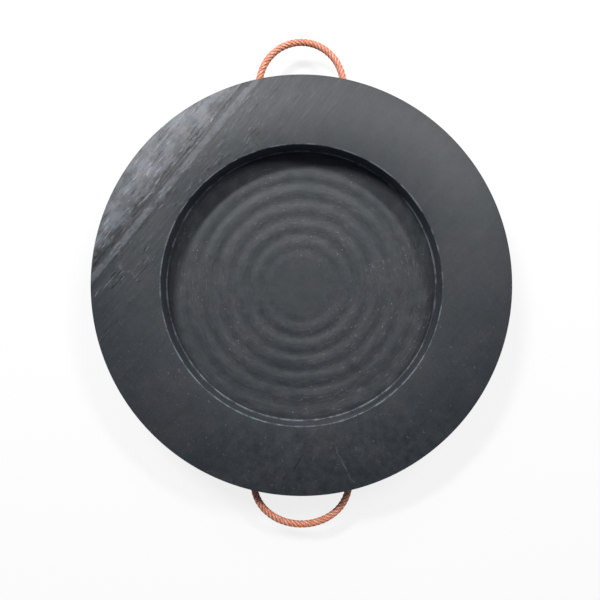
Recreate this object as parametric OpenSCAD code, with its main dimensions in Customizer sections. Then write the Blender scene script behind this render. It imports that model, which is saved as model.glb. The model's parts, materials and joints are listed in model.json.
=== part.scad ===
// Round crane outrigger pad: a machined plastic disc with a foot recess and two rope handles.
// Millimetres. The origin is the centre of the underside, with +Z up and the rear handle towards +Y.

/* [Disc] */
// Diameter of the disc
pad_d = 600; // [560:10:900]
// Thickness of the disc
pad_t = 80; // [65:1:120]
// Chamfer on the disc's upper and lower edges
edge_chamfer = 2; // [0.5:0.5:5]

/* [Foot recess] */
// Diameter of the recess that takes the outrigger's foot
recess_d = 400; // [280:5:430]
// Depth of the recess, down to the crests of its floor
recess_depth = 40; // [15:1:55]
// Rounding of the recess's upper edge
rim_round = 1.5; // [0.5:0.5:4]
// Fillet between the recess's wall and its floor
floor_fillet = 2; // [1:0.5:5]

/* [Turned rings] */
// Distance from one ring's crest to the next
ring_pitch = 25; // [12:1:40]
// Depth of the rings, from crest to trough
ring_depth = 1.2; // [0.2:0.1:2]
// How narrow the grooves are against the lands between them; 1 is an even wave
ring_narrowing = 1.4; // [1:0.1:2]
// Radius of the innermost crest that the cutter left
ring_first = 64; // [55:1:80]
// Width over which the rings rise from the flat centre to their full depth
ring_rise = 30; // [10:1:50]

/* [Rope handles] */
// Diameter of the rope
rope_d = 10.5; // [8:0.5:14]
// Distance between the two holes of the rear handle
rear_span = 125; // [90:5:170]
// Reach of the rear loop's centreline beyond the disc
rear_reach = 62; // [40:1:90]
// Distance between the two holes of the front handle
front_span = 140; // [90:5:170]
// Reach of the front loop's centreline beyond the disc
front_reach = 54; // [40:1:90]
// Sag of each loop's outer end below its holes
loop_sag = 6; // [0:1:15]
// Clearance round the rope in its holes
rope_clearance = 0.4; // [0.2:0.1:1]
// Countersink at the mouth of each rope hole
mouth_ease = 2; // [1:0.5:4]

/* [Knot pockets] */
// Diameter of the stopper knot on each end of a rope
knot_d = 34; // [26:1:38]
// Length of rope left beyond each knot
knot_tail = 6; // [2:1:8]
// Gap between a knot and the pocket wall that it bears on
knot_seat = 0.3; // [0.1:0.1:0.8]
// Diameter of the pockets that are milled in from the underside
pocket_d = 46; // [44:1:54]
// Plastic left between a pocket and the disc's edge
pocket_land = 31; // [20:1:40]
// Room between a knot and the roof of its pocket
pocket_room = 3; // [1:0.5:8]
// Chamfer at the mouth of each pocket
pocket_chamfer = 1; // [0.5:0.5:3]

/* [Hidden] */
$fn = 96;

pad_r = pad_d / 2;
recess_r = recess_d / 2;
floor_z = pad_t - recess_depth;
rope_r = rope_d / 2;
rope_z = pad_t / 2;
hole_r = rope_r + rope_clearance;
knot_r = knot_d / 2;
pocket_r = pocket_d / 2;
pocket_circle = pad_r - pocket_land - pocket_r;
pocket_top = rope_z + knot_r + pocket_room;

// How far the cutting shapes run past the faces that they open
overcut = 5;
// Chords that one turned ring is drawn with
ring_chords = 8;
// Sides of the rope's section, and the steps along a knot and along a loop
rope_sides = 12;
knot_steps = 10;
loop_steps = 24;

// Distance from the X axis to the mouth of a rope hole, where it meets the disc's edge
function mouth_y(span) = sqrt(pad_r ^ 2 - (span / 2) ^ 2);

// Distance from the X axis to the centre of a knot pocket
function pocket_y(span) = sqrt(pocket_circle ^ 2 - (span / 2) ^ 2);

// A knot seats on the rim of its rope hole, where the pocket's wall is nearest
function knot_y(span) =
    pocket_y(span) + sqrt(pocket_r ^ 2 - hole_r ^ 2) - sqrt(knot_r ^ 2 - hole_r ^ 2) - knot_seat;

// Height of the recess's floor: round lands with narrow grooves, which fade out towards the flat centre
function ring_strength(r) = min(1, max(0, (r - ring_first + ring_pitch) / ring_rise));
function ring_wave(r) = (1 - cos(360 * (r - ring_first) / ring_pitch)) / 2;
function floor_height(r) = floor_z - ring_depth * ring_strength(r) * ring_wave(r) ^ ring_narrowing;

ring_step = ring_pitch / ring_chords;
ring_inner = ring_first - ring_pitch;
ring_outer = recess_r - floor_fillet - ring_step / 2;
floor_points = [for (r = [ring_inner : ring_step : ring_outer]) [r, floor_height(r)]];

// Half section of the disc, with a square inner corner and a square rim
module disc_section() {
    polygon(concat(
        [[0, 0], [pad_r - edge_chamfer, 0], [pad_r, edge_chamfer]],
        [[pad_r, pad_t - edge_chamfer], [pad_r - edge_chamfer, pad_t]],
        [[recess_r, pad_t], [recess_r, floor_height(recess_r - floor_fillet)]],
        [[recess_r - floor_fillet, floor_height(recess_r - floor_fillet)]],
        [for (i = [len(floor_points) - 1 : -1 : 0]) floor_points[i]],
        [[0, floor_z]]
    ));
}

// What a quarter circle leaves of a square corner, which points towards +X and -Y
module corner_cove(radius) {
    difference() {
        translate([0, -radius]) square(radius);
        circle(radius);
    }
}

module disc() {
    inner_corner = [recess_r - floor_fillet, floor_height(recess_r - floor_fillet) + floor_fillet];
    rim_corner = [recess_r + rim_round, pad_t - rim_round];
    rotate_extrude() {
        difference() {
            disc_section();
            translate(rim_corner) rotate(180) corner_cove(rim_round);
        }
        translate(inner_corner) corner_cove(floor_fillet);
    }
}

// One rope hole, drilled in from the edge, and the knot pocket that it opens into
module rope_hole(span) {
    drill_y = pocket_y(span);
    mouth = mouth_y(span);
    translate([0, drill_y, rope_z]) rotate([-90, 0, 0])
        cylinder(r = hole_r, h = mouth - drill_y + overcut);
    translate([0, mouth - mouth_ease, rope_z]) rotate([-90, 0, 0])
        cylinder(r1 = hole_r, r2 = hole_r + mouth_ease + overcut, h = mouth_ease + overcut);
    translate([0, drill_y, -overcut]) cylinder(r = pocket_r, h = pocket_top + overcut);
    translate([0, drill_y, -overcut])
        cylinder(r1 = pocket_r + pocket_chamfer + overcut, r2 = pocket_r, h = pocket_chamfer + overcut);
}

module pad() {
    color("#3b3e42") difference() {
        disc();
        for (side = [-1, 1]) {
            translate([side * rear_span / 2, 0, 0]) rope_hole(rear_span);
            mirror([0, 1, 0]) translate([side * front_span / 2, 0, 0]) rope_hole(front_span);
        }
    }
}

// The rings of one rope, each [x, y, z, radius], from its left tail round the loop to its right tail
function tail_rings(span, x) =
    let (knot_end = acos(rope_r / knot_r), y = knot_y(span))
    concat(
        [[x, y - knot_r * sin(knot_end) - knot_tail, rope_z, rope_r]],
        [for (i = [0 : knot_steps])
            let (a = knot_end * (2 * i / knot_steps - 1))
            [x, y + knot_r * sin(a), rope_z, knot_r * cos(a)]]
    );

function loop_rings(span, reach) =
    let (mouth = mouth_y(span), depth = pad_r + reach - mouth)
    [for (i = [0 : loop_steps])
        let (a = 180 * i / loop_steps)
        [-span / 2 * cos(a), mouth + depth * sin(a), rope_z - loop_sag * sin(a) ^ 2, rope_r]];

function reversed(list) = [for (i = [len(list) - 1 : -1 : 0]) list[i]];

function rope_rings(span, reach) = concat(
    tail_rings(span, -span / 2),
    loop_rings(span, reach),
    reversed(tail_rings(span, span / 2))
);

function place(ring) = [ring[0], ring[1], ring[2]];
function unit(v) = v / norm(v);
function heading(rings, i) =
    unit(place(rings[min(i + 1, len(rings) - 1)]) - place(rings[max(i - 1, 0)]));

// The points of ring i, square to the rope's heading there
function ring_points(rings, i) =
    let (ahead = heading(rings, i), across = unit(cross(ahead, [0, 0, 1])), up = cross(across, ahead))
    [for (k = [0 : rope_sides - 1])
        let (a = 360 * k / rope_sides)
        place(rings[i]) + rings[i][3] * (across * cos(a) + up * sin(a))];

// One closed tube along the rings, with a flat cap on each end
module rope(span, reach) {
    rings = rope_rings(span, reach);
    last = len(rings) - 1;
    function corner(i, k) = i * rope_sides + k % rope_sides;
    polyhedron(
        points = [for (i = [0 : last]) each ring_points(rings, i)],
        faces = concat(
            [[for (k = [0 : rope_sides - 1]) corner(0, k)]],
            [for (i = [0 : last - 1], k = [0 : rope_sides - 1])
                [corner(i, k), corner(i + 1, k), corner(i + 1, k + 1)]],
            [for (i = [0 : last - 1], k = [0 : rope_sides - 1])
                [corner(i, k), corner(i + 1, k + 1), corner(i, k + 1)]],
            [[for (k = [rope_sides - 1 : -1 : 0]) corner(last, k)]]
        )
    );
}

module rope_handle_rear() {
    color("#cd784b") rope(rear_span, rear_reach);
}

module rope_handle_front() {
    color("#cd784b") mirror([0, 1, 0]) rope(front_span, front_reach);
}

pad();
rope_handle_rear();
rope_handle_front();
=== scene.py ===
# %% [markdown]
# A crane outrigger pad, dressed for its picture.
# The pad is a thick disc of black polyethylene with a round recess for the outrigger's foot and two
# rope handles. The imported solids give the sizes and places. This lesson models the disc and the ropes
# again with finer edges, and gives them their finishes. All lengths are in metres.

import json
import math

import bmesh
import bpy
import numpy as np
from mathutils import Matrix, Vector, noise


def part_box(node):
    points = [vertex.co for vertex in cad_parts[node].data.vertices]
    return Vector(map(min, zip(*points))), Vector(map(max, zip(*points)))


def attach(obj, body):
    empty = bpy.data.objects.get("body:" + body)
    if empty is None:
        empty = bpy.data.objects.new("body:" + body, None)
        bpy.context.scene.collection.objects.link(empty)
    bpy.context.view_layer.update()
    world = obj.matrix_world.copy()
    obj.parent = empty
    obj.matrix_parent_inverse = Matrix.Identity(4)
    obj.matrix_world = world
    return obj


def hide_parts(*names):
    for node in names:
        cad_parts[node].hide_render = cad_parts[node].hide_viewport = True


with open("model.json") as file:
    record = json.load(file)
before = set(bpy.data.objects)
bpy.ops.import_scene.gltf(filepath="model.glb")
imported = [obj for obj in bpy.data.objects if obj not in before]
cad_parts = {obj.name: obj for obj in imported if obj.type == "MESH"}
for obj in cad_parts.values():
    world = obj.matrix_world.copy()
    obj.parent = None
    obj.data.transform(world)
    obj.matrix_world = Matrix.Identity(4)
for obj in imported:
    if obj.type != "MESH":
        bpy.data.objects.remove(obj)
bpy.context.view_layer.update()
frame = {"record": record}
pad_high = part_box("pad")[1]
pad_radius = pad_high.x
pad_top = pad_high.z
mounts = {mount["name"]: mount for mount in frame["record"]["mounts"]}
recess_radius = mounts["foot_recess"]["dims"]["r_mm"] / 1000
print(f"disc {2 * pad_radius:.3f} across, {pad_top:.3f} thick, recess {2 * recess_radius:.3f} across")

# %% [markdown]
# The camera comes first, because every later choice is judged through it.
# The photograph looks straight down on the disc: its recess shows round and concentric, and its floor
# shows 4% smaller than its rim, as a floor 40 mm down does to a lens about 1 m above the face. A camera
# with no rotation already looks down with +Y at the top of the picture, so only its place and its lens
# are set.

# %% The camera
camera_above_face = 0.975
camera_off_centre = (-0.002, -0.021)
view_across_face = 0.852
camera_data = bpy.data.cameras.new("camera")
camera_data.sensor_width = 36
camera_data.lens = camera_data.sensor_width * camera_above_face / view_across_face
camera = bpy.data.objects.new("camera", camera_data)
camera.location = (*camera_off_centre, pad_top + camera_above_face)
bpy.context.scene.collection.objects.link(camera)
bpy.context.scene.camera = camera
bpy.context.scene.view_settings.view_transform = "Standard"
print(f"lens {camera_data.lens:.1f} mm, camera at {[round(c, 3) for c in camera.location]}")

# %% [markdown]
# Operators act on whatever is selected and active, so a few helpers keep that tidy.
# One clears the selection, and one makes an object the only active one. In edit mode, one selects a ring
# of edges by its radius and height, one selects a level face, and one extrudes what is selected. The last
# applies a modifier straight after adding it.

# %% Helpers for modelling
def deselect():
    """Leaves nothing selected in object mode."""
    if bpy.context.object and bpy.context.object.mode != "OBJECT":
        bpy.ops.object.mode_set(mode="OBJECT")
    bpy.ops.object.select_all(action="DESELECT")


def work_on(piece):
    """Makes one object the only selected and active one."""
    deselect()
    piece.select_set(True)
    bpy.context.view_layer.objects.active = piece


def select_ring(radius, height, slack=1e-4):
    """In edit mode, selects the edges that lie on one level circle about the disc's axis."""
    bpy.ops.mesh.select_mode(type="EDGE")
    bpy.ops.mesh.select_all(action="DESELECT")
    mesh = bmesh.from_edit_mesh(bpy.context.edit_object.data)

    def on_ring(vertex):
        return abs(vertex.co.z - height) < slack and abs(vertex.co.xy.length - radius) < slack

    ring = [edge for edge in mesh.edges if all(on_ring(vertex) for vertex in edge.verts)]
    for edge in ring:
        edge.select_set(True)
    bmesh.update_edit_mesh(bpy.context.edit_object.data)
    return len(ring)


def select_face_at(height):
    """In edit mode, selects the largest face at one height that looks straight up."""
    bpy.ops.mesh.select_mode(type="FACE")
    bpy.ops.mesh.select_all(action="DESELECT")
    mesh = bmesh.from_edit_mesh(bpy.context.edit_object.data)
    level = [face for face in mesh.faces if abs(face.calc_center_median().z - height) < 1e-5]
    upper = [face for face in level if face.normal.z > 0.99]
    max(upper, key=lambda face: face.calc_area()).select_set(True)
    bmesh.update_edit_mesh(bpy.context.edit_object.data)


def extrude(offset):
    """Extrudes the selected faces by an offset, and leaves the new faces selected."""
    bpy.ops.mesh.extrude_region_move(TRANSFORM_OT_translate={"value": offset})


def apply_modifier(piece, kind, **settings):
    """Adds a modifier with its settings and applies it to the mesh."""
    work_on(piece)
    modifier = piece.modifiers.new(kind.lower(), kind)
    for name, value in settings.items():
        setattr(modifier, name, value)
    bpy.ops.object.modifier_apply(modifier=modifier.name)


print("modelling helpers ready")

# %% [markdown]
# The disc is cut from one thick sheet, and its recess is turned on a big router table.
# A circle with many sides, extruded up, inset and extruded down again, gives the same solid as the
# router did. The edges are bevelled next: a small chamfer outside, a light rounding at the recess's rim
# and a fillet at the foot of its wall, which both catch a thin line of light in the photograph.

# %% The disc and its recess
recess_depth = 0.040
edge_chamfer = 0.002
rim_round = 0.0015
floor_fillet = 0.002
ring_pitch = 0.025
ring_depth = 0.0012
ring_narrowing = 1.4
ring_first = 0.064
ring_rise = 0.030
disc_sides = 360
recess_floor = pad_top - recess_depth


def floor_height(radius):
    """Height of the recess's floor: round lands and narrow grooves, which fade out to the centre."""
    strength = min(1, max(0, (radius - ring_first + ring_pitch) / ring_rise))
    wave = (1 - math.cos(2 * math.pi * (radius - ring_first) / ring_pitch)) / 2
    return recess_floor - ring_depth * strength * wave**ring_narrowing


floor_edge = recess_radius - floor_fillet
corner_height = floor_height(floor_edge)
deselect()
bpy.ops.mesh.primitive_circle_add(vertices=disc_sides, radius=pad_radius, fill_type="NGON")
disc = bpy.context.object
disc.name = "pad_disc"
bpy.ops.object.mode_set(mode="EDIT")
bpy.ops.mesh.select_all(action="SELECT")
extrude((0, 0, pad_top))
bpy.ops.mesh.inset(thickness=pad_radius - recess_radius)
extrude((0, 0, corner_height - pad_top))
for radius, height, size, steps in (
    (pad_radius, 0, edge_chamfer, 2),
    (pad_radius, pad_top, edge_chamfer, 2),
    (recess_radius, pad_top, rim_round, 5),
    (recess_radius, corner_height, floor_fillet, 5),
):
    found = select_ring(radius, height)
    bpy.ops.mesh.bevel(offset=size, segments=steps, affect="EDGES")
    print(f"bevelled {found} edges at radius {radius:.3f}, height {height:.4f}")
bpy.ops.mesh.select_all(action="SELECT")
bpy.ops.mesh.normals_make_consistent(inside=False)
bpy.ops.object.mode_set(mode="OBJECT")
print(f"disc has {len(disc.data.polygons)} faces")

# %% [markdown]
# Each rope end goes into a hole drilled from the edge and is knotted in a pocket that opens below.
# A boolean takes the drill's and the cutter's own shapes away. Each tool is one cylinder whose end is
# extruded and widened, so that the mouth comes out eased, and it is made anew for each of the four places.

# %% Rope holes and knot pockets
rope_diameter = 0.0105
rope_height = pad_top / 2
rope_clearance = 0.0004
hole_radius = rope_diameter / 2 + rope_clearance
hole_sides = 40
mouth_ease = 0.002
knot_radius = 0.017
pocket_room = 0.003
pocket_sides = 72
pocket_radius = 0.023
pocket_land = 0.031
pocket_chamfer = 0.001
pocket_roof = rope_height + knot_radius + pocket_room
pocket_circle = pad_radius - pocket_land - pocket_radius
overcut = 0.005
handles = {
    "rear": {"side": 1, "span": 0.125, "reach": 0.062},
    "front": {"side": -1, "span": 0.140, "reach": 0.054},
}


def cutter(radius, length, widening, sides):
    """A cylinder along +Z from its own origin, with its far end widened and run on."""
    deselect()
    middle = (0, 0, length / 2)
    bpy.ops.mesh.primitive_cylinder_add(vertices=sides, radius=radius, depth=length, location=middle)
    tool = bpy.context.object
    bpy.ops.object.transform_apply(location=True)
    bpy.ops.object.mode_set(mode="EDIT")
    select_face_at(length)
    extrude((0, 0, widening + overcut))
    share = (radius + widening + overcut) / radius
    bpy.ops.transform.resize(value=(share, share, 1))
    bpy.ops.object.mode_set(mode="OBJECT")
    return tool


def cut_away(tool, place, turn):
    """Takes a tool's shape, turned about X and moved to its place, out of the disc."""
    tool.rotation_euler = (turn, 0, 0)
    tool.location = place
    work_on(tool)
    bpy.ops.object.transform_apply(location=True, rotation=True)
    apply_modifier(disc, "BOOLEAN", operation="DIFFERENCE", solver="EXACT", object=tool)
    bpy.data.objects.remove(tool)


for handle in handles.values():
    half_span = handle["span"] / 2
    handle["mouth"] = math.sqrt(pad_radius**2 - half_span**2)
    handle["pocket"] = math.sqrt(pocket_circle**2 - half_span**2)
    drilled = handle["mouth"] - mouth_ease - handle["pocket"]
    knot_y = handle["side"] * handle["pocket"]
    for x in (-half_span, half_span):
        pocket_tool = cutter(pocket_radius, pocket_roof - pocket_chamfer, pocket_chamfer, pocket_sides)
        cut_away(pocket_tool, (x, knot_y, pocket_roof), math.pi)
        drill = cutter(hole_radius, drilled, mouth_ease, hole_sides)
        cut_away(drill, (x, knot_y, rope_height), -handle["side"] * math.pi / 2)
print(f"disc has {len(disc.data.polygons)} faces with its holes and pockets")

# %% [markdown]
# The recess's floor is not flat.
# The router's wide passes left rings that rise and fall by about a millimetre, with a flat patch in the
# middle. The floor's face is inset again and again in small steps, and each new inner face is moved to
# the wave's height at its radius, which draws true rings that any light can rake over. Drawing them in
# the material instead would leave nothing in the mesh.

# %% The turned rings
ring_step = 0.0015
work_on(disc)
bpy.ops.object.mode_set(mode="EDIT")
select_face_at(corner_height)
radius = floor_edge
while radius - ring_step > ring_first - ring_pitch:
    rise = floor_height(radius - ring_step) - floor_height(radius)
    bpy.ops.mesh.inset(thickness=ring_step)
    bpy.ops.transform.translate(value=(0, 0, rise))
    radius -= ring_step
bpy.ops.mesh.poke()
bpy.ops.object.mode_set(mode="OBJECT")
print(f"rings from radius {radius:.4f} to {floor_edge:.4f}, {len(disc.data.polygons)} faces in the disc")

# %% [markdown]
# Crane feet have rubbed the rings down in patches, most of all on the right and near the wall.
# A vertex group says how worn each point of the floor is, from a slow noise, and a Smooth modifier that
# works through that group levels the rings there. It moves points up and down only, so the rings stay
# round. A Displace modifier through the same group then adds dents of half a millimetre at most.
# This is better than a lower wave all over, which would lose the clear rings that are left.

# %% Rings worn by use
worn_edge = floor_edge - 0.004
outer_rings = 0.152
wear_everywhere = 0.36
wear_in_patches = 0.6
patches_in_a_metre = 13
wear_to_the_right = 1.6
wear_outside = 30
dent_size = 0.022
dent_swing = 0.0011
worn_group = disc.vertex_groups.new(name="worn")
for vertex in disc.data.vertices:
    spot = vertex.co
    if spot.xy.length < worn_edge and abs(spot.z - recess_floor) < 0.003:
        outer = max(spot.xy.length - outer_rings, 0.0)
        worn_share = wear_everywhere + wear_in_patches * noise.noise(spot * patches_in_a_metre)
        worn_share += wear_to_the_right * spot.x + wear_outside * outer
        worn_group.add([vertex.index], min(max(worn_share, 0.0), 1.0), "REPLACE")
apply_modifier(disc, "SMOOTH", vertex_group="worn", use_x=False, use_y=False, factor=0.5, iterations=70)
dents = bpy.data.textures.new("dents", "CLOUDS")
dents.noise_scale = dent_size
dents.noise_depth = 1
apply_modifier(disc, "DISPLACE", vertex_group="worn", texture=dents, direction="Z", strength=dent_swing)
work_on(disc)
bpy.ops.object.shade_smooth_by_angle(angle=math.radians(32))
heights = [v.co.z for v in disc.data.vertices if v.co.xy.length < worn_edge and v.co.z > 0.03]
print(f"the floor's points lie {min(heights):.4f} to {max(heights):.4f} high")

# %% [markdown]
# Shader nodes are easier to read as arithmetic.
# The class below wraps a socket: an expression such as 1 - mask adds a Math node, and one method adds
# any other node from its type, its settings and what goes into its sockets.

# %% Shader arithmetic
class Wire:
    """One output socket of a material's nodes, ready for arithmetic."""

    def __init__(self, tree, socket=None):
        self.tree = tree
        self.socket = socket

    def node(self, kind, settings=None, inputs=None, output=0):
        """Adds a node: its settings first, then a value or a link for each named or numbered socket."""
        made = self.tree.nodes.new(kind)
        for name, value in (settings or {}).items():
            setattr(made, name, value)
        for name, value in (inputs or {}).items():
            if isinstance(value, Wire):
                self.tree.links.new(value.socket, made.inputs[name])
            else:
                made.inputs[name].default_value = value
        return Wire(self.tree, None if output is None else made.outputs[output])

    def maths(self, operation, *values):
        return self.node("ShaderNodeMath", {"operation": operation}, dict(enumerate(values)))

    def __add__(self, other):
        return self.maths("ADD", self, other)

    def __radd__(self, other):
        return self.maths("ADD", other, self)

    def __sub__(self, other):
        return self.maths("SUBTRACT", self, other)

    def __rsub__(self, other):
        return self.maths("SUBTRACT", other, self)

    def __mul__(self, other):
        return self.maths("MULTIPLY", self, other)

    def __rmul__(self, other):
        return self.maths("MULTIPLY", other, self)

    def __truediv__(self, other):
        return self.maths("DIVIDE", self, other)

    def __pow__(self, other):
        return self.maths("POWER", self, other)

    def fade(self, low, high):
        """0 below low, 1 above high and smooth between; a high below low turns it round."""
        first, last = (1.0, 0.0) if high < low else (0.0, 1.0)
        ends = {0: self, 1: min(low, high), 2: max(low, high), 3: first, 4: last}
        return self.node("ShaderNodeMapRange", {"interpolation_type": "SMOOTHSTEP"}, ends)

    def vector(self, x, y, z):
        return self.node("ShaderNodeCombineXYZ", None, {0: x, 1: y, 2: z})

    def noise(self, place, scale, detail=3.0, roughness=0.5):
        values = {"Vector": place, "Scale": scale, "Detail": detail, "Roughness": roughness}
        return self.node("ShaderNodeTexNoise", None, values)

    def blend(self, factor, first, second):
        """Mixes two colours."""
        colours = {0: factor, 6: first, 7: second}
        return self.node("ShaderNodeMix", {"data_type": "RGBA"}, colours, output=2)


def new_material(name):
    """An empty node material, with a Wire to start expressions from."""
    material = bpy.data.materials.new(name)
    material.use_nodes = True
    material.node_tree.nodes.clear()
    return material, Wire(material.node_tree)


def finish_material(start, shader, kind="ShaderNodeOutputMaterial"):
    """Joins a shader to the output of its material, or of the world."""
    start.node(kind, None, {"Surface": shader}, output=None)


print("shader arithmetic ready")

# %% [markdown]
# The plastic is dull charcoal polyethylene, and each face tells how it was cut.
# The sheet's flat faces were skived: streaks and scratches run across them in one direction, and one
# side has a paler, scuffed patch behind a clear line. The recess's floor and wall were turned, so their
# marks run in circles. Everything reads Object coordinates: the streaks use turned x and y, and the
# circles use the radius together with the direction's cosine and sine, which leaves no seam.

# %% The plastic
skive_turn = math.radians(50.5)
skive_line = 0.2355
plastic, start = new_material("skived_polyethylene")
coordinates = start.node("ShaderNodeTexCoord", output="Object")
x, y, z = (start.node("ShaderNodeSeparateXYZ", None, {0: coordinates}, output=axis) for axis in range(3))
radius = (x * x + y * y) ** 0.5
along = x * math.cos(skive_turn) + y * math.sin(skive_turn)
across = y * math.cos(skive_turn) - x * math.sin(skive_turn)
cosine = x / (radius + 0.0001)
sine = y / (radius + 0.0001)

below_top = pad_top - z
above_floor = z - recess_floor
past_rim = radius - recess_radius
on_ring = below_top.fade(0.0020, 0.0004)
in_recess = past_rim.fade(0.0008, -0.0002) * above_floor.fade(-0.020, -0.010)
on_wall = in_recess * above_floor.fade(0.0012, 0.0025)
on_floor = in_recess - on_wall
on_turning = on_floor * radius.fade(0.012, 0.070)
at_rim = past_rim.fade(0.0022, 0.0012) * below_top.fade(0.0030, 0.0016)
at_corner = on_floor * past_rim.fade(-0.0024, -0.0016)
on_underside = z.fade(0.0016, 0.0004)
on_edge = radius.fade(pad_radius - 0.0012, pad_radius - 0.0004) * below_top.fade(0.0008, 0.0018)
print("the faces are told apart by radius and height")

# %% [markdown]
# Skiving tears the sheet a little where the blade runs rough.
# Noises stretched along the blade's direction make it: broad streaks, short scratches that are either
# pale or dark, thin hairlines, and blotches where the skin was lifted. They are strong in the rough
# segment and fade out over the rest of the face, where handling has left a few marks the other way.
# A pale band with clear edges and dark gouges beside it marks where two passes met.

# %% Marks of the blade
patches = start.noise(coordinates, 48.0, 3.0, 0.6)
warp = start.noise(coordinates, 110.0, 3.0) * 0.005 - 0.0025
lane = across + warp
torn = lane.fade(skive_line + 0.002, skive_line + 0.018)
rough_reach = (y * 0.75 - x * 0.65).fade(0.08, 0.27)
streaks = start.noise(start.vector(along * 8, lane * 150, 0.0), 1.0, 4.0, 0.6)
scratches = start.noise(start.vector(along * 34, across * 270, 3.0), 1.0, 2.0, 0.6)
hairlines = start.noise(start.vector(along * 14, across * 420, 7.0), 1.0, 2.0, 0.5)
cross_turn = math.radians(118)
cross_along = x * math.cos(cross_turn) + y * math.sin(cross_turn)
cross_across = y * math.cos(cross_turn) - x * math.sin(cross_turn)
cross_noise = start.noise(start.vector(cross_along * 17, cross_across * 380, 4.0), 1.0, 2.0)
cross_marks = cross_noise.fade(0.64, 0.74)
blotches = start.noise(start.vector(along * 38, lane * 55, 5.0), 1.0, 4.0, 0.62)
clusters = start.noise(start.vector(along * 24, across * 45, 13.0), 1.0, 2.0).fade(0.50, 0.60)
beyond_line = lane - skive_line
band = beyond_line.fade(-0.0050, -0.0034) * beyond_line.fade(0.0050, 0.0034)
gouges = (
    start.maths("ABSOLUTE", beyond_line - 0.0105).fade(0.0012, 0.0005)
    + start.maths("ABSOLUTE", beyond_line - 0.0165).fade(0.0014, 0.0006) * 0.8
    + start.maths("ABSOLUTE", beyond_line + 0.0075).fade(0.0010, 0.0004) * 0.5
) * start.noise(start.vector(along * 26, across * 60, 9.0), 1.0, 3.0).fade(0.40, 0.56)
roughened = (beyond_line.fade(0.004, 0.008) * 0.85 + rough_reach * 0.35) * streaks.fade(0.36, 0.52)
pale_scratches = scratches.fade(0.61, 0.65) * roughened
dark_scratches = scratches.fade(0.40, 0.36) * roughened
blade_marks = (
    1.9 * band * blotches.fade(0.30, 0.55)
    + 2.4 * (blotches.fade(0.36, 0.64) - 0.25) * torn
    + 1.9 * beyond_line.fade(0.012, 0.034)
    + 1.8 * (streaks - 0.5) * (rough_reach * 0.8 + 0.2)
    + 3.4 * pale_scratches
    - 1.9 * dark_scratches
    - 1.3 * gouges
    + 1.3 * hairlines.fade(0.62, 0.73) * (rough_reach * 0.7 + 0.3) * (clusters * 0.6 + 0.4)
    + 0.5 * cross_marks * patches.fade(0.42, 0.58)
)
print("blade marks ready")

# %% [markdown]
# Use has marked the face too.
# Clusters of short strokes lie beside the skived patch, the front is mottled and nicked, and two long
# scratches run out towards its edge. The strokes are one more stretched noise, cut up by the clusters. A
# long scratch is no noise: it has a place of its own, so it is drawn as the distance from a line, made to
# waver a little, broken up by the mottling and faded at both ends.

# %% Marks of handling
near_line = beyond_line.fade(-0.090, -0.015) * beyond_line.fade(0.006, 0.0)
strokes = start.noise(start.vector(along * 60, across * 330, 11.0), 1.0, 2.0)
struck = clusters * near_line
mottle = start.noise(coordinates, 95.0, 3.0, 0.65)
nicks = start.noise(coordinates, 210.0, 2.0).fade(0.68, 0.74) * y.fade(0.05, -0.15)
at_front = y.fade(-0.15, -0.22) * x.fade(-0.16, -0.06)
scratch_width = 0.0019
scratch_fade = 0.012


def long_scratch(first, last):
    """A wavering line from one point of the upper face to another, which fades at its ends."""
    reach = Vector(last) - Vector(first)
    ahead = reach.normalized()
    from_x = x - first[0]
    from_y = y - first[1]
    run = from_x * ahead.x + from_y * ahead.y
    aside = start.maths("ABSOLUTE", from_x * ahead.y - from_y * ahead.x + warp)
    ends = run.fade(0.0, scratch_fade) * run.fade(reach.length, reach.length - scratch_fade)
    return aside.fade(scratch_width, scratch_width / 3) * ends * mottle.fade(0.36, 0.54)


handling_marks = (
    (2.4 * strokes.fade(0.59, 0.65) - 1.5 * strokes.fade(0.42, 0.36)) * struck
    + 1.5 * (mottle - 0.5) * at_front
    + 1.3 * nicks
    + 1.2 * long_scratch((0.041, -0.217), (0.075, -0.284))
    - 0.6 * long_scratch((0.009, -0.229), (-0.014, -0.268))
)
print("handling marks ready")

# %% [markdown]
# The recess was turned, so its marks run in circles, and it has caught dust.
# Fine circles of noise lie on the floor, short smears and scuffs break up its rings, and lines run round
# the wall. The dust is a flat Voronoi pattern: most of its cells stay empty, and the dots gather where a
# broad noise is high.

# %% Marks of the turning, and dust
circles = start.noise(start.vector(radius * 420, cosine * 2.2, sine * 2.2), 1.0, 5.0, 0.65)
scuffs = start.noise(start.vector(radius * 480, cosine * 13, sine * 13), 1.0, 3.0, 0.6).fade(0.58, 0.70)
smears = start.noise(start.vector(radius * 170, cosine * 8, sine * 8), 1.0, 5.0, 0.68)
wall_lines = start.noise(start.vector(z * 150, cosine * 2, sine * 2), 1.0, 3.0, 0.6)
tints = start.noise(coordinates, 16.0, 3.0, 0.6)
grain = start.noise(coordinates, 420.0, 3.0, 0.6)
wobble = start.noise(coordinates, 75.0, 3.0, 0.6)
# Patches along the rim and the wall's foot: partly rubbed wear, partly a painted highlight line.
edge_wear_and_highlight = start.noise(coordinates, 55.0, 3.0, 0.65).fade(0.38, 0.62)
saw_lines = start.noise(start.vector(z * 380, cosine * 5, sine * 5), 1.0, 4.0, 0.6)
flat_cells = {"voronoi_dimensions": "2D"}
cells = {"Vector": coordinates, "Scale": 150.0}
speck_gap = start.node("ShaderNodeTexVoronoi", flat_cells, cells, output="Distance")
speck_lot = start.node("ShaderNodeTexVoronoi", flat_cells, cells, output="Color")
speck_share = start.node("ShaderNodeSeparateColor", None, {0: speck_lot}, output=0)
speck_size = start.node("ShaderNodeSeparateColor", None, {0: speck_lot}, output=1)
gathered = start.noise(coordinates, 17.0, 2.0).fade(0.50, 0.64) * 0.17 + 0.010
speck_here = start.maths("LESS_THAN", speck_share, gathered)
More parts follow.
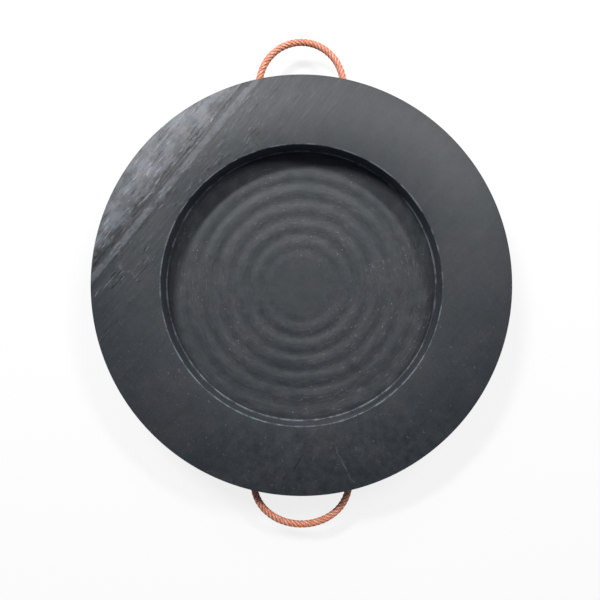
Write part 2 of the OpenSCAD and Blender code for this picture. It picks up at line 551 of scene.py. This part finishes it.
dust = (speck_size * 0.09 + 0.03 - speck_gap).fade(0.0, 0.03) * speck_here * (on_floor + on_ring * 0.15)
print("turning marks and dust ready")

# %% [markdown]
# All the marks meet in one colour and one relief.
# Each mark makes the charcoal lighter or darker where it lies, so they add up to one light level, which
# scales the colour. Cut plastic also catches the light on its tiny edges, so the same noises are added up
# again as heights for a Bump node. The sheen stays dull, and the floor is a little duller than the ring.

# %% The plastic's colour and relief
light_level = (
    1.0
    + 0.30 * (tints - 0.5)
    + 0.7 * (grain - 0.5)
    + (blade_marks + handling_marks + 0.6 * (patches - 0.5)) * on_ring
    + (1.6 * (streaks - 0.5) + 0.6 * hairlines.fade(0.62, 0.74)) * on_underside
    + 1.2 * (saw_lines - 0.5) * on_edge
    + (0.8 * (circles - 0.5) + 1.5 * (smears - 0.5) + 1.5 * scuffs * tints.fade(0.40, 0.60)) * on_turning
    + 0.9 * (patches - 0.5) * on_floor
    + (3.6 * (wall_lines - 0.5) + 1.1) * on_wall
    # The rim and the wall's foot are painted paler in patches: rubbed wear together with a painted
    # highlight.
    + 3.6 * edge_wear_and_highlight * (at_rim + at_corner)
)
cool = start.blend(tints.fade(0.4, 0.62), (0.0215, 0.0262, 0.0298, 1), (0.0255, 0.0270, 0.0312, 1))
torn_tint = (patches.fade(0.48, 0.66) * 0.6 + 0.4) * (torn + band) * on_ring
charcoal = start.blend(torn_tint, cool, (0.0278, 0.0274, 0.0298, 1))
shaded = start.node("ShaderNodeVectorMath", {"operation": "SCALE"}, {0: charcoal, "Scale": light_level})
dusted = start.blend(dust * 0.6, shaded, (0.28, 0.30, 0.31, 1))

relief = (
    (streaks * 0.2 + scratches * 1.6 * roughened + hairlines * 0.35 + cross_marks * 0.2) * on_ring
    + strokes * 1.4 * struck * on_ring
    + (streaks * 0.3 + hairlines * 0.2) * on_underside
    + saw_lines * 0.5 * on_edge
    + (circles * 0.3 + scuffs * 0.25 + smears * 1.2 + wobble * 1.6) * on_turning
    + wall_lines * 0.9 * on_wall
    + grain * 0.25
)
bump = start.node("ShaderNodeBump", None, {"Height": relief, "Strength": 0.5, "Distance": 0.0004})
surface = start.node(
    "ShaderNodeBsdfPrincipled",
    None,
    {
        "Base Color": dusted,
        "Roughness": 0.53 + 0.10 * (tints - 0.5) + 0.04 * on_floor,
        "Normal": bump,
    },
)
finish_material(start, surface)
disc.data.materials.clear()
disc.data.materials.append(plastic)
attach(disc, "root")
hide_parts("pad")
print(f"{plastic.name} has {len(plastic.node_tree.nodes)} nodes")

# %% [markdown]
# Each handle is one length of laid rope: five strands twisted round each other.
# Blender's curves can sweep a section along a line, and each point's tilt turns that section, so a
# section with five lobes and a steady tilt is a rope. The line leaves the left hole straight, follows
# half an ellipse with a little sag, and goes straight into the right hole. The curve is then converted
# to a mesh, and keeps UV coordinates that run along and round it. The first of them is stretched to
# metres, so that one finish fits every length of rope.

# %% The rope's line and section
rope_lay = 0.034
strands = 5
in_hole = 0.025
loop_sag = 0.006
path_step = 0.0010


def even_line(points, step):
    """The same line with points at even steps."""
    points = np.array(points, float)
    gaps = np.linalg.norm(np.diff(points, axis=0), axis=1)
    reached = np.concatenate(([0], np.cumsum(gaps)))
    places = np.linspace(0, reached[-1], max(2, round(reached[-1] / step) + 1))
    return np.stack([np.interp(places, reached, points[:, axis]) for axis in range(3)], axis=1)


def handle_line(handle):
    """The free loop of one handle, from inside its left hole to inside its right hole."""
    half_span = handle["span"] / 2
    depth = pad_radius + handle["reach"] - handle["mouth"]
    turn = np.linspace(0, math.pi, 241)
    loop = np.stack(
        [
            -half_span * np.cos(turn),
            handle["mouth"] + depth * np.sin(turn),
            rope_height - loop_sag * np.sin(turn) ** 2,
        ],
        axis=1,
    )
    ends = [(x, handle["mouth"] - in_hole, rope_height) for x in (-half_span, half_span)]
    return even_line([ends[0], *loop, ends[1]], path_step) * (1, handle["side"], 1)


def curve_object(name, points, closed=False):
    """A curve of straight steps through the points."""
    data = bpy.data.curves.new(name, "CURVE")
    data.dimensions = "2D" if closed else "3D"
    spline = data.splines.new("POLY")
    spline.points.add(len(points) - 1)
    for point, place in zip(spline.points, points):
        point.co = (*place, 1)
    spline.use_cyclic_u = closed
    made = bpy.data.objects.new(name, data)
    bpy.context.scene.collection.objects.link(made)
    return made


def lobed_section(radius, sides=50, groove=0.83):
    """A closed outline with one round lobe for each strand."""
    turns = np.linspace(0, 2 * math.pi, sides, endpoint=False)
    swell = np.abs(np.cos(turns * strands / 2)) ** 0.7
    reach = radius * (groove + (1 - groove) * swell)
    return [(r * math.cos(t), r * math.sin(t), 0) for r, t in zip(reach, turns)]


def rope_along(name, points, radius):
    """A rope mesh that follows the points."""
    section = curve_object(name + "_section", lobed_section(radius), closed=True)
    line = curve_object(name, points)
    line.data.twist_mode = "MINIMUM"
    step = np.linalg.norm(points[1] - points[0])
    for i, point in enumerate(line.data.splines[0].points):
        point.tilt = 2 * math.pi * i * step / rope_lay
    line.data.bevel_mode = "OBJECT"
    line.data.bevel_object = section
    line.data.use_fill_caps = True
    work_on(line)
    bpy.ops.object.convert(target="MESH")
    rope = bpy.context.object
    bpy.data.objects.remove(section)
    corners = rope.data.uv_layers[0].data
    places = np.zeros(2 * len(corners), "f")
    corners.foreach_get("uv", places)
    places[0::2] *= step * (len(points) - 1)
    corners.foreach_set("uv", places)
    work_on(rope)
    bpy.ops.object.shade_smooth_by_angle(angle=math.radians(60))
    return rope


for name, handle in handles.items():
    handle["line"] = handle_line(handle)
    handle["rope"] = rope_along(f"rope_{name}", handle["line"], rope_diameter / 2)
    length = np.linalg.norm(np.diff(handle["line"], axis=0), axis=1).sum()
    handle["length"] = float(length)
    print(f"{name} rope: {length:.3f} long, {len(handle['rope'].data.polygons)} faces")

# %% [markdown]
# A stopper knot in each pocket keeps the rope from pulling out.
# The rope runs on into the pocket, turns back over itself, winds once round its own standing part and
# ends in a short tail that points down. The corners of that line are softened by averaging each point
# with its neighbours a few dozen times, as a stiff rope would soften them.

# %% Stopper knots
knot_rope_radius = 0.0050
coil_radius = 0.0098
coil_turns = 1.25
coil_pitch = 0.0105
knot_back = 0.012
tail_length = 0.013
knot_softening = 24


def softened(points, passes):
    """The line with its corners eased; its two ends stay."""
    line = np.array(points, float)
    for _ in range(passes):
        line[1:-1] = (line[:-2] + 2 * line[1:-1] + line[2:]) / 4
    return line


def knot_line(handle, side):
    """A stopper knot's line, from inside the rope hole to the tail, in the disc's frame."""
    start_at = handle["mouth"] - in_hole - handle["pocket"]
    standing = [(0, start_at, 0), (0, -knot_back, 0)]
    bend = np.linspace(0, math.pi, 12)
    turn_back = [
        (0, -knot_back - coil_radius / 2 * math.sin(a), coil_radius / 2 * (1 - math.cos(a))) for a in bend
    ]
    wind = np.linspace(0, 1, 60)[1:]
    angles = math.pi / 2 + wind * coil_turns * 2 * math.pi
    coil = [
        (coil_radius * math.cos(a), -knot_back + w * coil_turns * coil_pitch, coil_radius * math.sin(a))
        for a, w in zip(angles, wind)
    ]
    tail_end = (coil[-1][0], coil[-1][1], coil[-1][2] - tail_length)
    line = even_line([*standing, *turn_back, *coil, tail_end], path_step)
    line = even_line(softened(line, knot_softening), path_step)
    moved = line * (side, 1, 1) + (side * handle["span"] / 2, handle["pocket"], rope_height)
    return moved * (1, handle["side"], 1)


for name, handle in handles.items():
    handle["knots"] = []
    for side, word in ((-1, "left"), (1, "right")):
        knot = rope_along(f"knot_{name}_{word}", knot_line(handle, side), knot_rope_radius)
        handle["knots"].append(knot)
        print(f"{knot.name}: {len(knot.data.polygons)} faces")

# %% [markdown]
# The rope is orange monofilament: thin shiny yarns, some of them bleached pale.
# Round and along the rope come from the UV map, so the yarns run with the strands. The grooves between the
# strands carry painted shade, the crests painted glints over some bleaching, and each yarn has its own
# shade.

# %% The rope's finish
yarns_in_strand = 5
yarn_turns = strands * yarns_in_strand
rope_finish, start = new_material("orange_rope")
uv = start.node("ShaderNodeUVMap")
along_it, round_it = (start.node("ShaderNodeSeparateXYZ", None, {0: uv}, output=axis) for axis in (0, 1))
strand_place = start.maths("ABSOLUTE", start.maths("FRACT", round_it * strands) - 0.5)
groove = strand_place.fade(0.26, 0.06)
crest = strand_place.fade(0.30, 0.46)
yarn_place = round_it * yarn_turns + along_it * (0.5 * yarn_turns / rope_lay)
yarn_number = start.maths("FLOOR", yarn_place)
yarn_shade = start.node("ShaderNodeTexWhiteNoise", {"noise_dimensions": "1D"}, {"W": yarn_number})
yarn_round = start.maths("SINE", start.maths("FRACT", yarn_place) * math.pi)
# This noise places the rougher worn yarns, the bleached patches and the painted glints.
worn = start.noise(start.vector(round_it * 9, along_it * 230, 0.0), 1.0, 3.0)
orange = start.blend(yarn_shade, (0.62, 0.185, 0.085, 1), (0.70, 0.25, 0.14, 1))
# Pale crests are painted glints; the small share everywhere is real bleaching in patches.
bleached_and_glints = start.blend(worn.fade(0.40, 0.58) * (crest * 0.62 + 0.06), orange, (0.93, 0.70, 0.60, 1))
# Painted shade: the grooves between the strands are darkened.
groove_shaded_colour = start.blend(groove * 0.45, bleached_and_glints, (0.34, 0.085, 0.045, 1))
bump = start.node("ShaderNodeBump", None, {"Height": yarn_round, "Strength": 0.5, "Distance": 0.0004})
surface = start.node(
    "ShaderNodeBsdfPrincipled",
    None,
    {"Base Color": groove_shaded_colour, "Roughness": 0.32 + 0.12 * worn, "Normal": bump},
)
finish_material(start, surface)
print(f"{rope_finish.name} has {len(rope_finish.node_tree.nodes)} nodes")

# %% [markdown]
# Every rope piece gets this finish and rides on the pad. Each loop stands in for its imported solid, which
# is hidden: it leaves one hole, goes back into the object at the other, and its knots go with it.

# %% The handles finished
for name, handle in handles.items():
    for piece in (handle["rope"], *handle["knots"]):
        piece.data.materials.clear()
        piece.data.materials.append(rope_finish)
        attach(piece, "root")
    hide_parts(f"rope_handle_{name}")
    print(f"{name} handle finished and declared as a cord of {handle['length']:.3f}")

# %% [markdown]
# The pad lies on a plain white floor.
# The floor has to look white without more light on the pad. So to the camera it is mostly a white glow,
# and to every other ray it is a matte pale sheet. The share that doesn't glow keeps a soft shadow.

# %% The floor
deselect()
bpy.ops.mesh.primitive_plane_add(size=12, location=(0, 0, -0.0004))
floor = bpy.context.object
floor.name = "floor"
paper, start = new_material("white_floor")
glow_share = 0.82
to_camera = start.node("ShaderNodeLightPath", output="Is Camera Ray")
matte = start.node("ShaderNodeBsdfDiffuse", None, {"Color": (0.82, 0.82, 0.82, 1)})
glow = start.node("ShaderNodeEmission", None, {"Color": (1, 1, 1, 1), "Strength": 1.0})
seen_floor = start.node("ShaderNodeMixShader", None, {0: to_camera * glow_share, 1: matte, 2: glow})
finish_material(start, seen_floor)
floor.data.materials.append(paper)
print(f"{floor.name} lies at {floor.location.z:.4f}")

# %% [markdown]
# Three soft lamps stand beyond the rear edge.
# The recess's wall throws two shadows that cross on its floor, one to each side, so two wide lamps stand
# far off to the left and right, about 50 degrees above the face. The left one is stronger. A weak lamp
# close to the rear makes that side brighter than the front, which far lamps can't do. The world adds a
# cool fill, and is white to the camera.

# %% Lamps and world
def area_lamp(name, place, target, size, power):
    """A soft rectangular lamp that faces a point."""
    data = bpy.data.lights.new(name, "AREA")
    data.shape = "RECTANGLE"
    data.size, data.size_y = size
    data.energy = power
    lamp = bpy.data.objects.new(name, data)
    lamp.location = place
    lamp.visible_camera = False
    lamp.rotation_euler = (Vector(target) - Vector(place)).to_track_quat("-Z", "Y").to_euler()
    bpy.context.scene.collection.objects.link(lamp)


lamp_target = Vector((0, 0, recess_floor))
tallest_lamp = 0.25
for name, azimuth, elevation, distance, width, power in (
    ("near", 100, 42, 1.00, 0.80, 1.9),
    ("left", 122, 50, 3.0, 0.90, 74),
    ("right", 48, 51, 3.0, 1.20, 47),
):
    flat = distance * math.cos(math.radians(elevation))
    rise = distance * math.sin(math.radians(elevation))
    turn = math.radians(azimuth)
    place = lamp_target + Vector((flat * math.cos(turn), flat * math.sin(turn), rise))
    area_lamp(name, place, lamp_target, (width, min(width / 2, tallest_lamp)), power)
    print(f"{name} lamp: {power} W, {distance} away, {elevation} degrees up")
world = bpy.data.worlds.new("studio")
world.use_nodes = True
world.node_tree.nodes.clear()
sky = Wire(world.node_tree)
seen = sky.node("ShaderNodeLightPath", output="Is Camera Ray")
fill = sky.node("ShaderNodeBackground", None, {"Color": (0.74, 0.85, 1.0, 1), "Strength": 0.18})
white = sky.node("ShaderNodeBackground", None, {"Color": (1, 1, 1, 1), "Strength": 1.0})
sky_mix = sky.node("ShaderNodeMixShader", None, {0: seen, 1: fill, 2: white})
finish_material(sky, sky_mix, "ShaderNodeOutputWorld")
bpy.context.scene.world = world
print(f"{world.name} has {len(world.node_tree.nodes)} nodes")

# %% The scene brought up to date
bpy.context.view_layer.update()
